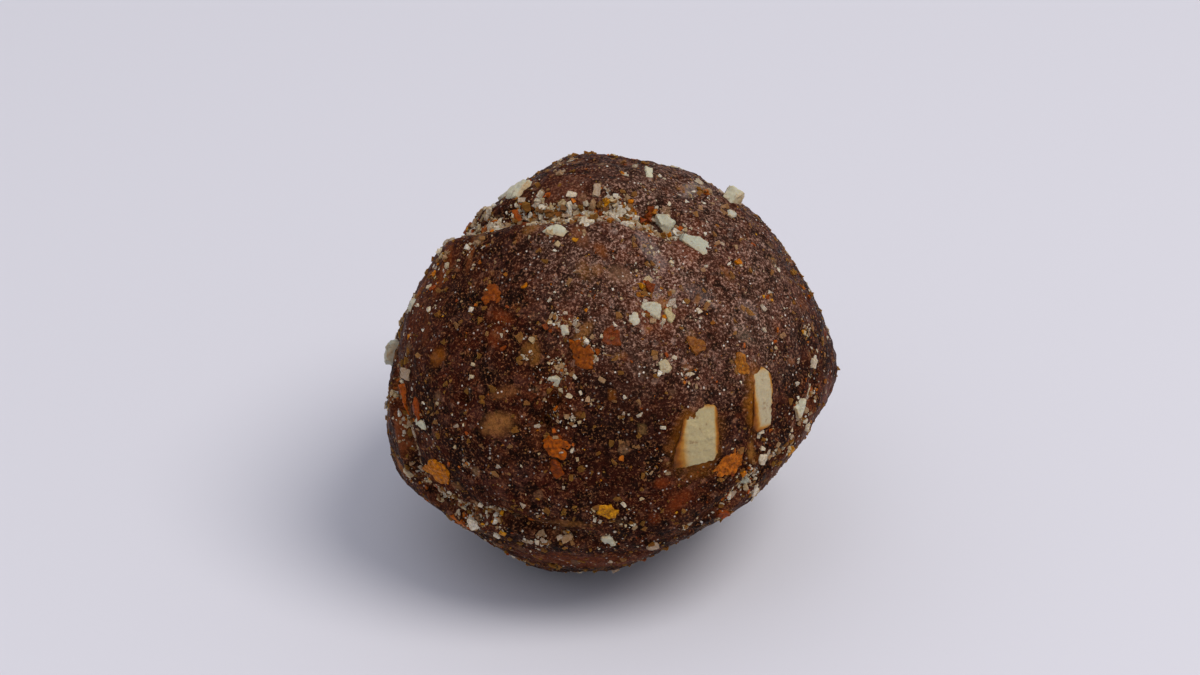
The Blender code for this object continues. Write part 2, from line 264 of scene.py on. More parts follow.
# Nut fragments just under the surface shine through it as amber or tan patches, and two near-black
# ovals are painted shade on the front: bearing, height, length, width, turn, colour, strength.
TAN, AMBER, RUST, PALE, GREY = "#8a5a26", "#7a420a", "#74300e", "#9c8b76", "#8c8280"
SHINE_THROUGH_AND_SHADE = (
    (22.6, 7.4, 5.5, 3.9, -8, "#7c4810", 0.9),
    (41.2, 14.5, 4.6, 2.2, -12, "#8a5212", 0.9),
    (46, 57, 4.2, 3.0, -65, RUST, 0.35),
    (16, 42, 4.6, 2.6, 50, RUST, 0.35),
    (-27, 12, 2.9, 1.7, -60, "#936030", 0.8),
    (-27, 20, 2.6, 0.9, -60, "#7a4a26", 0.65),
    (-10, -15, 3.6, 0.7, 85, "#7b4f22", 0.6),
    (19, -9, 2.6, 1.5, -40, RUST, 0.8),
    (13, -14, 1.6, 1.0, 0, RUST, 0.6),
    (39, 24, 1.5, 1.0, 0, "#9a6a30", 0.6),
    (88, 66, 3.4, 1.4, 60, "#a0948c", 0.5),
    (24, 58, 4.0, 1.2, 15, GREY, 0.4),
    (20, 50, 2.2, 1.0, 10, GREY, 0.3),
    (36, 44, 3.0, 1.4, 40, GREY, 0.2),
    (50, 36, 2.2, 1.2, 20, GREY, 0.2),
    (44, 30, 2.2, 1.2, 30, PALE, 0.2),
    # Painted shade: the front, turned away from the window light, darkened.
    (8, 20, 9.0, 7.0, 0, "#1c0a05", 0.5),
    (2, 2, 7.0, 5.0, 30, "#1c0a05", 0.4),
    (-8, -33, 3.0, 10.0, 0, "#7a3a1e", 0.5),
    (10, 13, 1.4, 1.2, 0, "#7b5c34", 0.6),
    (2, 22, 1.2, 1.0, 0, AMBER, 0.6),
    (-20, 30, 1.2, 0.9, 0, "#8b5a22", 0.6),
    (-2, 60, 1.4, 0.8, 40, "#8b4a1a", 0.5),
    (-68, 30, 15.0, 6.5, 20, "#6a3420", 0.35),
    (-66, 40, 5.0, 1.2, 30, "#7c3c18", 0.7),
    (-60, 48, 3.0, 0.8, 35, "#8d4a20", 0.6),
    (-72, 32, 3.2, 0.9, 20, "#8d4a20", 0.6),
    (-58, 26, 3.0, 1.0, 25, "#6b3416", 0.6),
    (-40, 76, 5.0, 3.5, 60, "#65301a", 0.5),
    (-60, -2, 4.5, 1.2, 10, "#80401c", 0.65),
    (-66, 3, 3.0, 0.8, 5, AMBER, 0.6),
    (-74, -2, 4.0, 1.4, 8, "#8f4a1c", 0.8),
    (-68, -18, 2.0, 1.4, 0, "#9a5a1c", 0.8),
    (60, -6, 4.0, 2.0, -30, "#7c4a36", 0.45),
    (72, 0, 4.0, 2.4, -30, "#7a4638", 0.5),
    (48, -12, 4.0, 1.6, -40, "#7c4a36", 0.4),
    (160, 30, 4.0, 2.4, 20, TAN, 0.5),
    (-170, -12, 3.0, 1.6, 70, AMBER, 0.6),
    (120, 4, 3.4, 1.8, -40, RUST, 0.6),
    (-130, 30, 3.6, 2.2, 50, "#65301a", 0.5),
    (100, 30, 2.6, 1.6, 10, TAN, 0.5),
    (140, 15, 2.2, 1.4, 60, AMBER, 0.6),
    (-150, 8, 2.0, 1.2, 30, PALE, 0.4),
)

# Many smaller ones are scattered at random.
SOFT_SPOTS = 110
SOFT_SEED = 11
SOFT_SIZE = (0.7, 2.2)
SOFT_SLENDER = (0.4, 0.9)
SOFT_STRENGTH = (0.4, 0.85)
SOFT_LOWEST_SINE = -0.95
SOFT_TONES = (TAN, AMBER, RUST, "#75543c", TAN, "#6b3a1c", "#8a5c34")

# Each is an oval that fades out between these shares of its size, with an outline that is ragged
# by an amount in lumps of a size. It counts only on its own side of the ball, and the grain of
# the paste is lower on it.
SHINE_EDGE = (1.35, 0.45)
SHINE_RAGGED = (0.35, 0.9)
SHINE_SMOOTH = 0.8
OVAL_NEAR = 0.5
OVAL_FAR = 9
NEARLY_UPRIGHT = 0.05

# Painted sheen, pale and grey where the window light falls: bearing, height, and the cosine of how
# far it reaches. It is patchy: its share, how much that varies, and the size of the patches.
SHEEN_LIT = ((40, 56, 0.66), (88, 68, 0.94))
LEAST_SHEEN = 0.03
SHEEN_PATCHES = (0.85, 0.6, 5.0)


def frame_on(normal, turn):
    """Directions across and along the surface and out of it, turned about the last."""
    up = Vector((0, 0, 1)) - normal * normal.z
    up = up.normalized() if up.length > NEARLY_UPRIGHT else Vector((0, 1, 0))
    frame = Matrix((up.cross(normal), up, normal)).transposed()
    return frame @ Matrix.Rotation(math.radians(turn), 3, "Z")


def oval_share(out, place, length, width, turn):
    """0 in the middle of an oval on the ball, 1 at its edge, and more outside."""
    axes = frame_on(Vector(toward(*place)), turn).transposed()
    across, along, normal = (np.array(axis) for axis in axes)
    flat = REACH * out / np.maximum(out @ normal, TINY)[:, None]
    share = np.hypot(flat @ across / (width / 2), flat @ along / (length / 2))
    return np.where(out @ normal > OVAL_NEAR, share, OVAL_FAR)


def add_node(tree, kind, settings=(), **links):
    """Adds a node with its settings and inputs; a link is a socket, and anything else a value."""
    node = tree.nodes.new(kind)
    for name, value in dict(settings).items():
        setattr(node, name, value)
    for name, value in links.items():
        spot = int(name[1:]) if name[0] == "i" and name[1:].isdigit() else name.replace("_", " ")
        socket = node.inputs[spot]
        if isinstance(value, bpy.types.NodeSocket):
            tree.links.new(value, socket)
        else:
            is_colour = socket.type == "RGBA" and np.ndim(value) == 1
            socket.default_value = (*value, 1) if is_colour else value
    return node


def new_material(name):
    """A new material's node tree, its main shader, and the material itself."""
    material = bpy.data.materials.new(name)
    material.use_nodes = True
    return material.node_tree, material.node_tree.nodes["Principled BSDF"], material


def date_paste_material():
    """Ground dates: a dark, sticky, slightly see-through brown with a grain of crushed skin and
    sugar, which gives a fine pale speckle, and a painted satin sheen, grey where the light falls."""
    tree, paste, material = new_material("ground_date_paste")
    place = add_node(tree, "ShaderNodeTexCoord").outputs["Object"]
    # The painted sheen, strongest where the window light falls.
    painted_sheen = add_node(tree, "ShaderNodeAttribute", {"attribute_name": "painted_sheen"}).outputs["Fac"]
    tint_and_shade = add_node(tree, "ShaderNodeAttribute", {"attribute_name": "shine_through_and_shade"})
    crumbly = add_node(tree, "ShaderNodeAttribute", {"attribute_name": "crumbly"}).outputs["Fac"]

    def clouds(size_mm, detail=3.0, roughness=0.6):
        return add_node(tree, "ShaderNodeTexNoise", Vector=place, Scale=1 / (size_mm * MM),
                        Detail=detail, Roughness=roughness).outputs["Fac"]

    def between(value, low, high, to_low=0.0, to_high=1.0):
        return add_node(tree, "ShaderNodeMapRange", {"interpolation_type": "SMOOTHSTEP"}, Value=value,
                        From_Min=low, From_Max=high, To_Min=to_low, To_Max=to_high).outputs[0]

    def math_of(operation, a, b):
        return add_node(tree, "ShaderNodeMath", {"operation": operation}, i0=a, i1=b).outputs[0]

    def mixed(share, a, b):
        return add_node(tree, "ShaderNodeMix", {"data_type": "RGBA"}, i0=share, i6=a, i7=b).outputs[2]

    def grains(spacing_mm, size, threshold, where):
        """Specks a spacing apart: how fully each is there, its height, and two numbers of its own."""
        cells = add_node(tree, "ShaderNodeTexVoronoi", Vector=where, Scale=1 / (spacing_mm * MM))
        full = 0.35 * size
        speck = between(cells.outputs["Distance"], size, full)
        own = add_node(tree, "ShaderNodeSeparateColor", Color=cells.outputs["Color"]).outputs
        return math_of("MULTIPLY", speck, between(own[0], threshold, 1.0)), speck, own

    # Places pushed about, so that the specks that read them have ragged outlines.
    waves = add_node(tree, "ShaderNodeTexNoise", Vector=place, Scale=1 / (0.5 * MM),
                     Detail=4).outputs["Color"]
    ragged = add_node(tree, "ShaderNodeVectorMath", {"operation": "MULTIPLY_ADD"}, i0=waves,
                      i1=(0.9 * MM,) * 3, i2=place).outputs[0]

    # The brown of the dates, lighter where it is dry or crumbly.
    colour = mixed(between(clouds(4.5), 0.38, 0.65), rgb("#240b05"), rgb("#3c1307"))
    colour = mixed(between(clouds(1.3), 0.48, 0.7, 0, 0.6), colour, rgb("#552712"))
    colour = mixed(math_of("MULTIPLY", crumbly, 0.3), colour, rgb("#6e381b"))
    colour = mixed(between(clouds(2.4, 5.0), 0.48, 0.68, 0, 0.18), colour, rgb("#7c5044"))

    # Bits of nut and skin in the paste, and under them finer granules of date and nut.
    bit, _, own = grains(1.6, 0.4, 0.6, ragged)
    bit_colour = mixed(own[1], mixed(own[2], rgb("#9a5514"), rgb("#80340e")), rgb("#8c7050"))
    colour = mixed(math_of("MULTIPLY", bit, 0.9), colour, bit_colour)
    granule, _, own = grains(0.75, 0.46, 0.3, ragged)
    # Granules are painted paler and greyer under the painted sheen.
    granule_colour = mixed(own[1], rgb("#4a2418"), mixed(painted_sheen, rgb("#8c5e46"), rgb("#9c8a80")))
    colour = mixed(math_of("MULTIPLY", granule, 0.8), colour, granule_colour)

    # Moister patches, which are nearly black, and finer flecks that are painted crevice shade.
    colour = mixed(between(clouds(2.1, 4.0), 0.52, 0.34, 0, 0.85), colour, rgb("#100504"))
    # Painted crevice shade, in fine nearly black flecks.
    colour = mixed(between(clouds(0.7, 4.0), 0.48, 0.38, 0, 0.85), colour, rgb("#0a0301"))

    # Pieces that shine through from just under the surface, and the painted shade on the front. The
    # layers after it are fainter there.
    mottled = between(clouds(0.5, 6.0, 0.7), 0.36, 0.54, 0.5, 1.0)
    patch = math_of("MULTIPLY", tint_and_shade.outputs["Alpha"], mottled)
    colour = mixed(patch, colour, tint_and_shade.outputs["Color"])
    clear = between(tint_and_shade.outputs["Alpha"], 0, 1, 1, 0.35)

    # A painted sheen veil with painted glints, pale where the window light falls, and grit of date
    # and sugar, drawn a little coarser than the real one, which is too fine to show.
    sheen_veil = math_of("MULTIPLY", painted_sheen, between(clouds(1.4, 6.0, 0.7), 0.4, 0.58, 0.3, 1.0))
    colour = mixed(math_of("MULTIPLY", sheen_veil, 0.22), colour, rgb("#9a6c54"))
    grit = clouds(0.2, 3.0, 0.75)
    dark = math_of("MULTIPLY", between(grit, 0.54, 0.38, 0, 0.6), clear)
    colour = mixed(dark, colour, rgb("#120502"))
    brown = math_of("MULTIPLY", between(grit, 0.54, 0.68, 0, 0.75), clear)
    colour = mixed(brown, colour, rgb("#94603a"))
    glint = math_of("MULTIPLY", between(grit, 0.5, 0.66, 0, 0.72), math_of("MULTIPLY", sheen_veil, clear))
    colour = mixed(glint, colour, rgb("#ba9a8c"))
    # Sparse pale specks: sugar crystals in the grain, and painted glints.
    sparse, sparse_height, _ = grains(0.3, 0.36, 0.82, place)
    sparse = math_of("MULTIPLY", sparse, between(clouds(1.8, 4.0), 0.4, 0.6, 0.3, 1.0))
    colour = mixed(sparse, colour, rgb("#d6c8ba"))

    # The grit and the specks stand up a little.
    height = math_of("ADD", math_of("MULTIPLY", sparse_height, 0.3), grit)
    height = math_of("ADD", height, clouds(0.7, 3.0))
    bump = add_node(tree, "ShaderNodeBump", Strength=1.0, Distance=0.14 * MM, Height=height)
    tree.links.new(colour, paste.inputs["Base Color"])
    tree.links.new(bump.outputs[0], paste.inputs["Normal"])
    tree.links.new(between(clouds(0.8), 0.35, 0.65, 0.36, 0.6), paste.inputs["Roughness"])
    paste.inputs["IOR"].default_value = 1.45
    paste.inputs["Specular IOR Level"].default_value = 0.025
    paste.inputs["Subsurface Weight"].default_value = 0.06
    paste.inputs["Subsurface Radius"].default_value = (1.0, 0.35, 0.15)
    paste.inputs["Subsurface Scale"].default_value = 0.6 * MM
    return material


def painted_sheen_on(out):
    """How strong the painted sheen is: most on the upper right, where the light falls, least on the
    lower left.
    """
    lit = np.zeros(len(out))
    for bearing, height, edge in SHEEN_LIT:
        lit = np.maximum(lit, smoothstep(edge, 1.0, out @ toward(bearing, height)))
    share, unevenness, size = SHEEN_PATCHES
    patches = share + unevenness * bumps(out, size)
    return np.clip((LEAST_SHEEN + (1 - LEAST_SHEEN) * lit) * patches, 0, 1)


def shine_through_and_shade(out):
    """The colour that shines through at each direction, painted shade included, and how strongly."""
    tint_and_shade = np.zeros((len(out), 4))
    ragged = SHINE_RAGGED[0] * bumps(out, SHINE_RAGGED[1])
    spots = list(SHINE_THROUGH_AND_SHADE)
    draw = random.Random(SOFT_SEED)
    for _ in range(SOFT_SPOTS):
        size = draw.uniform(*SOFT_SIZE)
        height = math.degrees(math.asin(draw.uniform(SOFT_LOWEST_SINE, 1)))
        spots.append((draw.uniform(-180, 180), height, size, size * draw.uniform(*SOFT_SLENDER),
                      draw.uniform(0, 180), draw.choice(SOFT_TONES), draw.uniform(*SOFT_STRENGTH)))
    for bearing, height, length, width, turn, colour, strength in spots:
        share = oval_share(out, (bearing, height), length, width, turn)
        weight = strength * smoothstep(*SHINE_EDGE, share + ragged)
        more = weight > tint_and_shade[:, 3]
        tint_and_shade[more, :3] = rgb(colour)
        tint_and_shade[more, 3] = weight[more]
    return tint_and_shade


def date_paste():
    """A cube's grid blown up to a sphere and pushed out to the rolled form."""
    ball = bmesh.new()
    bmesh.ops.create_cube(ball, size=2)
    bmesh.ops.subdivide_edges(ball, edges=ball.edges, cuts=GRID_CUTS, use_grid_fill=True)
    out = np.tan(np.array([vert.co for vert in ball.verts]) * math.pi / 4)
    out /= np.linalg.norm(out, axis=1)[:, None]
    tint_and_shade = shine_through_and_shade(out)
    radius, crumbly = rolled_form(out)
    for size, height in GRAIN:
        radius += height * (1 - SHINE_SMOOTH * tint_and_shade[:, 3]) * bumps(out, size)
    points = out * radius[:, None] + MIDDLE
    points[:, 2] = np.maximum(points[:, 2], 0)
    for vert, point in zip(ball.verts, points * MM):
        vert.co = point
    bmesh.ops.recalc_face_normals(ball, faces=ball.faces)
    mesh = bpy.data.meshes.new("date_paste")
    ball.to_mesh(mesh)
    ball.free()
    # Painted sheen: pale and grey where the window light falls on the upper right.
    give_attribute(mesh, "painted_sheen", painted_sheen_on(out))
    give_attribute(mesh, "crumbly", crumbly)
    # Colours that shine through, with the painted shade on the front.
    give_attribute(mesh, "shine_through_and_shade", tint_and_shade)
    mesh.materials.append(date_paste_material())
    mesh.shade_smooth()
    made = bpy.data.objects.new("date_paste", mesh)
    bpy.context.scene.collection.objects.link(made)
    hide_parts("energy_ball")
    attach(made, "root")
    return made


paste = date_paste()

# Chopped nuts. Blanched nuts cut with a knife into angular chips up to 5 mm long, and pressed
# in as the ball is rolled, so most lie level with the paste and the oil has turned their rims
# amber. Each is bearing, height, length, width, how far out, turn, taper.

NUTS = (
    (24, 9, 6.0, 4.0, 0.24, -8, 0.45),
    (43, 14, 5.2, 2.2, 0.2, -12, 0.25),
    (99, 54, 1.9, 1.5, 1.2, 30, 0.25),
    (-79, 9, 2.5, 1.7, 0.75, 8, 0.2),
    (-88, 67, 2.8, 1.9, 0.35, 60, 0.2),
    (50, 57, 2.9, 2.0, 0.35, 34, 0.6),
    (47, 67, 1.8, 1.5, 0.4, 60, 0.2),
    (-29, 63, 2.4, 1.0, 0.2, 95, 0.3),
    (-65, 57, 2.2, 1.0, 0.2, 70, 0.2),
    (17, 43, 1.9, 1.5, 0.22, 50, 0.3),
    (10, 41, 1.2, 1.0, 0.18, 20, 0.2),
    (23, 41, 1.4, 1.1, 0.2, -30, 0.2),
    (17, 28, 1.3, 1.1, 0.2, 15, 0.1),
    (100, 78, 2.4, 0.9, 0.15, 65, 0.3),
    (81, 55, 1.0, 0.9, 0.25, 0, 0.2),
    (56, 6, 1.6, 1.3, 0.3, 20, 0.2),
    (38, -8, 1.1, 0.9, 0.2, 50, 0.2),
    (1, -22, 1.3, 1.1, 0.25, 10, 0.2),
    (-51, 4, 1.6, 0.9, 0.3, 80, 0.3),
    (-70, 28, 1.3, 0.8, 0.25, 10, 0.3),
    (-14, 25, 1.6, 0.9, 0.15, 65, 0.3),
    (-13, 38, 1.0, 0.8, 0.2, 20, 0.1),
)
NUT_DEEP = (1.3, 0.7)
NUT_DEEP_SHARE = 0.5

# Chips on the sides that the view in the photograph doesn't show are laid at random.
VIEWED_FROM = (0, 30)
SEEN_EDGE = -0.05
HIDDEN_NUTS = 18
HIDDEN_NUT_SIZE = (1.2, 4.2)
HIDDEN_NUT_STAND = (0.1, 0.35)
NUT_SLENDER = (0.5, 0.85)
NUT_TAPER = 0.3

# How pieces are laid: how far apart, how low on the ball, and over what reach a piece lies level
# with the paste.
SEED = 36
TRIES = 60
PIECE_GAP = 0.15
LOWEST_PIECE = 1.6
LOWEST_SINE = -0.85
LEVEL_REACH = 0.5

# How a piece is cut out of a block that is 1 across, and how its faces are worn.
NUT_SIDES = 7
SIDE_CUT = (0.42, 0.62)
SIDE_DRIFT = 0.35
SIDE_LEAN = 0.25
TOP_CUT = (0.44, 0.52)
TOP_LEAN = 0.5
BROAD_WEAR = 1.8
FINE_WEAR = 4.5
FINE_WEAR_SHARE = 0.8
SQUARE_WEAR = 0.5
WEAR_SHIFT = (7.3, 3.1, 5.7)
SHARP_FROM = 30

# Wear and broken corners, for a large chip and for a small one. Wear is the longest edge, the
# roughness and the softness.
LARGE_NUT = 3.2
NUT_WEAR = ((0.2, 0.07, 0.12), (0.2, 0.08, 0.02))
CORNERS_BROKEN = (2, 9)
CORNER_CUT = (0.7, 0.93)

# Two chips are oily. Oil goes in from a chip's rim and from its lower left, and its colours go
# from amber to brown as it thickens.
OILY = (0, 1)
OILED = (0.18, 1.0)
OILY_RIM = (0.72, 1.05)
OILY_LEFT = (0.45, 1.4)
LEFT_SLANT = 0.5
NUT_TONES = ("#a89a74", "#a6997c", "#bcb8a0", "#a9a797", "#b6b29c", "#a5a694", "#b0ad98",
             "#b4b29c", "#a8a596", "#a8a490", "#b2ac98")
NUT_OIL = ((0.0, 0.35, "#a4752f"), (0.25, 0.62, "#82490f"), (0.6, 0.95, "#4e280b"))
NUT_SMEAR = "#6b4426"


def chopped(length, width, thickness, taper, sides, draw):
    """An angular chopped piece: a block cut to an uneven outline, with a slanting top."""
    piece = bmesh.new()
    bmesh.ops.create_cube(piece, size=1)
    cuts = []
    for side in range(sides):
        angle = 2 * math.pi * (side + draw.uniform(-SIDE_DRIFT, SIDE_DRIFT)) / sides
        lean = draw.uniform(-SIDE_LEAN, SIDE_LEAN)
        cuts.append((math.cos(angle), math.sin(angle), lean, draw.uniform(*SIDE_CUT)))
    leans = draw.uniform(-TOP_LEAN, TOP_LEAN), draw.uniform(-TOP_LEAN, TOP_LEAN)
    cuts.append((*leans, 1, draw.uniform(*TOP_CUT)))
    for x, y, z, reach in cuts:
        way = Vector((x, y, z)).normalized()
        everything = piece.verts[:] + piece.edges[:] + piece.faces[:]
        bmesh.ops.bisect_plane(
            piece, geom=everything, plane_co=way * reach, plane_no=way, clear_outer=True
        )
        bmesh.ops.holes_fill(piece, edges=piece.edges)
    for vert in piece.verts:
        narrow = 1 - taper * (vert.co.y + 0.5)
        vert.co = Vector((vert.co.x * width * narrow, vert.co.y * length, vert.co.z * thickness))
    bmesh.ops.triangulate(piece, faces=piece.faces)
    return piece


def break_corners(piece, number, seed):
    """Breaks bits off a chopped piece's top and sides along random planes."""
    own = random.Random(seed)
    for _ in range(number):
        way = Vector([own.gauss(0, 1) for _ in range(3)])
        way.z = abs(way.z)
        way.normalize()
        reach = max(vert.co.dot(way) for vert in piece.verts)
        everything = piece.verts[:] + piece.edges[:] + piece.faces[:]
        bmesh.ops.bisect_plane(
            piece, geom=everything, plane_co=way * reach * own.uniform(*CORNER_CUT), plane_no=way,
            clear_outer=True
        )
        bmesh.ops.holes_fill(piece, edges=piece.edges)
    bmesh.ops.triangulate(piece, faces=piece.faces)


def weather(piece, edge, rough, soft, seed):
    """Rounds a chopped piece's edges a little and breaks up its faces."""
    longest = max(e.calc_length() for e in piece.edges)
    for _ in range(max(0, math.ceil(math.log2(longest / edge)))):
        long_edges = [e for e in piece.edges if e.calc_length() > edge]
        bmesh.ops.subdivide_edges(piece, edges=long_edges, cuts=1)
        bmesh.ops.triangulate(piece, faces=piece.faces)
    bmesh.ops.smooth_vert(
        piece, verts=piece.verts, factor=soft, use_axis_x=True, use_axis_y=True, use_axis_z=True
    )
    piece.normal_update()
    shift = Vector([seed * part for part in WEAR_SHIFT])
    moves = []
    for vert in piece.verts:
        broad = noise.noise(vert.co * BROAD_WEAR + shift)
        fine = noise.noise(vert.co * FINE_WEAR - shift)
        wear = broad + FINE_WEAR_SHARE * fine
        moves.append((vert.normal * SQUARE_WEAR + vert.co.normalized()) * rough * wear)
    for vert, move in zip(piece.verts, moves):
        vert.co += move


class Heap:
    """Collects finished small pieces, with a colour for each vertex, to make one mesh of them."""

    def __init__(self):
        self.points = []
        self.faces = []
        self.tones = []
        self.count = 0

    def add(self, points, faces, tones):
        self.points.append(points)
        self.faces.append(faces + self.count)
        self.tones.append(np.broadcast_to(tones, (len(points), 4)))
        self.count += len(points)

    def make(self, name, material, smooth):
        mesh = bpy.data.meshes.new(name)
        faces = np.concatenate(self.faces)
        mesh.from_pydata(np.concatenate(self.points), [], faces.tolist())
        give_attribute(mesh, "tone", np.concatenate(self.tones))
        mesh.materials.append(material)
        if smooth:
            mesh.shade_smooth()
            mesh.set_sharp_from_angle(angle=math.radians(SHARP_FROM))
        made = bpy.data.objects.new(name, mesh)
        bpy.context.scene.collection.objects.link(made)
        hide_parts("energy_ball")
        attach(made, "root")


class Toppings:
    """Lays pieces on the ball one after another and keeps them clear of each other."""

    def __init__(self, ball):
        self.surface = BVHTree.FromPolygons(
            [vert.co for vert in ball.data.vertices],
            [face.vertices for face in ball.data.polygons],
        )
        self.draw = random.Random(SEED)
        self.taken = []

    def is_free(self, place, reach):
        out = toward(*place)
        low = MIDDLE[2] + REACH * out[2] < LOWEST_PIECE + reach
        gaps = [math.acos(min(1, out @ other)) * REACH - far for other, far in self.taken]
        return not low and min(gaps, default=reach + 1) > reach + PIECE_GAP

    def seat(self, place, reach, depth, turn):
        """The matrix that lays a piece level with the surface around a place, its middle sunk."""
        out = Vector(toward(*place))
        middle = Vector(MIDDLE) * MM
        point = self.surface.ray_cast(middle + out * 2 * REACH * MM, -out)[0]
        around = self.surface.find_nearest_range(point, max(reach, LEVEL_REACH) * MM)
        normal = sum((face[1] for face in around), Vector()).normalized()
        frame = frame_on(normal, turn)
        return Matrix.Translation(point - normal * depth * MM) @ (frame * MM).to_4x4()

    def scatter(self, number, sizes, pick_place, lay_one):
        """Lays a number of pieces, largest first, where the ball is still free."""
        for size in sorted((self.draw.uniform(*sizes) for _ in range(number)), reverse=True):
            for _ in range(TRIES):
                place = pick_place(self.draw)
                if self.is_free(place, size / 2):
                    lay_one(place, size)
                    break

    def beside(self, place, gap):
        """A place a short way off another, in any direction."""
        out = toward(*place) + np.array([self.draw.gauss(0, gap) for _ in range(3)]) / REACH
        return place_of(out / np.linalg.norm(out))

    def lay(self, heap, place, length, width, thickness, stand, turn, taper, sides, finish):
        """Chops one piece, finishes it, lays it on the ball and puts it on the heap."""
        piece = chopped(length, width, thickness, taper, sides, self.draw)
        tones = finish(piece, len(self.taken))
        for vert in piece.verts:
            vert.co.z -= (vert.co.x ** 2 + vert.co.y ** 2) / (2 * REACH)
        piece.transform(self.seat(place, width / 2, thickness / 2 - stand, turn))
        points = np.array([vert.co for vert in piece.verts])
        faces = np.array([[vert.index for vert in face.verts] for face in piece.faces])
        piece.free()
        heap.add(points, faces, tones)
        self.taken.append((toward(*place), math.hypot(length, width) / 2))


def nut_flesh_material(name, shade, most_shade, gloss):
    """Blanched nut, cut with a knife: waxy and slightly see-through, cream with a fine grain, and
    amber at the rim, where the oil of the paste has soaked in. The shade is its duller part."""
    tree, nut, material = new_material(name)
    place = add_node(tree, "ShaderNodeTexCoord").outputs["Object"]
    tone = add_node(tree, "ShaderNodeAttribute", {"attribute_name": "tone"})
    broad = add_node(tree, "ShaderNodeTexNoise", Vector=place, Scale=1 / (0.8 * MM),
                     Detail=4).outputs["Fac"]
    fine = add_node(tree, "ShaderNodeTexNoise", Vector=place, Scale=1 / (0.14 * MM),
                    Detail=3).outputs["Fac"]
    soak = add_node(tree, "ShaderNodeMapRange", Value=broad, From_Min=0.3, From_Max=0.7, To_Min=0.7,
                    To_Max=1.2).outputs[0]
    soaked = add_node(tree, "ShaderNodeMath", {"operation": "MULTIPLY", "use_clamp": True},
                      i0=tone.outputs["Alpha"], i1=soak).outputs[0]
    dull = add_node(tree, "ShaderNodeMapRange", Value=fine, From_Min=0.3, From_Max=0.7, To_Min=0.0,
                    To_Max=most_shade).outputs[0]
    colour = add_node(tree, "ShaderNodeMix", {"data_type": "RGBA", "blend_type": "MULTIPLY"}, i0=dull,
                      i6=tone.outputs["Color"], i7=rgb(shade)).outputs[2]
    for low, high, oil_tone in NUT_OIL:
        oil = add_node(tree, "ShaderNodeMapRange", Value=soaked, From_Min=low,
                       From_Max=high).outputs[0]
        colour = add_node(tree, "ShaderNodeMix", {"data_type": "RGBA"}, i0=oil, i6=colour,
                          i7=rgb(oil_tone)).outputs[2]
    smear = add_node(tree, "ShaderNodeTexNoise", Vector=place, Scale=1 / (0.5 * MM),
                     Detail=5).outputs["Fac"]
    smear = add_node(tree, "ShaderNodeMapRange", Value=smear, From_Min=0.6, From_Max=0.7, To_Min=0.0,
                     To_Max=0.5).outputs[0]
    colour = add_node(tree, "ShaderNodeMix", {"data_type": "RGBA"}, i0=smear, i6=colour,
                      i7=rgb(NUT_SMEAR)).outputs[2]
    bump = add_node(tree, "ShaderNodeBump", Strength=0.4, Distance=0.05 * MM, Height=fine)
    tree.links.new(colour, nut.inputs["Base Color"])
    tree.links.new(bump.outputs[0], nut.inputs["Normal"])
    nut.inputs["Roughness"].default_value = 0.5
    nut.inputs["IOR"].default_value = 1.45
    nut.inputs["Specular IOR Level"].default_value = gloss
    nut.inputs["Subsurface Weight"].default_value = 0.35
    nut.inputs["Subsurface Radius"].default_value = (1.0, 0.7, 0.35)
    nut.inputs["Subsurface Scale"].default_value = 0.5 * MM
    return material


def nut_finish(length, width, taper, tone, soaked):
    """A rule that weathers a nut chip and colours it, with oil in its rim and its lower left."""

    def finish(piece, number):
        small = length < LARGE_NUT
        break_corners(piece, CORNERS_BROKEN[small], number)
        weather(piece, *NUT_WEAR[small], number)
        points = np.array([vert.co for vert in piece.verts])
        half = width / 2 * (1 - taper * (points[:, 1] / length + 0.5))
        rim = np.maximum(abs(points[:, 0]) / half, abs(points[:, 1]) / (length / 2))
        left = -points[:, 0] / half - LEFT_SLANT * points[:, 1] / (length / 2)
        soak = soaked * np.maximum(smoothstep(*OILY_RIM, rim), smoothstep(*OILY_LEFT, left))
        return np.column_stack((np.tile(rgb(tone), (len(points), 1)), soak))

    return finish


def anywhere(draw):
    """A place on the whole ball, even over its surface."""
    return draw.uniform(-180, 180), math.degrees(math.asin(draw.uniform(LOWEST_SINE, 1)))


def hidden(draw):
    """A place that the photograph's view doesn't show."""
    place = anywhere(draw)
    while toward(*place) @ toward(*VIEWED_FROM) > SEEN_EDGE:
        place = anywhere(draw)
    return place


toppings = Toppings(paste)
draw = toppings.draw
chips = Heap()


def lay_nut(place, length, width, stand, turn, taper):
    thickness = max(NUT_DEEP[0] * stand + NUT_DEEP[1], NUT_DEEP_SHARE * width)
    number = len(toppings.taken)
    tone = NUT_TONES[number % len(NUT_TONES)]
    finish = nut_finish(length, width, taper, tone, OILED[number in OILY])
    toppings.lay(chips, place, length, width, thickness, stand, turn, taper, NUT_SIDES, finish)


def lay_any_nut(place, size):
    width = size * draw.uniform(*NUT_SLENDER)
    stand = draw.uniform(*HIDDEN_NUT_STAND)
    lay_nut(place, size, width, stand, draw.uniform(0, 180), NUT_TAPER)


for bearing, height, *rest in NUTS:
    lay_nut((bearing, height), *rest)
toppings.scatter(HIDDEN_NUTS, HIDDEN_NUT_SIZE, hidden, lay_any_nut)
chips.make("nut_chips", nut_flesh_material("blanched_nut", "#b49a70", 0.25, 0.15), True)

# Skin flakes. Thin brown skins of the nuts, torn into flakes of 1 to 2 mm, which the oil has
# turned a see-through amber. They are pressed flat into the paste. Each is bearing, height,
# length, width, turn.

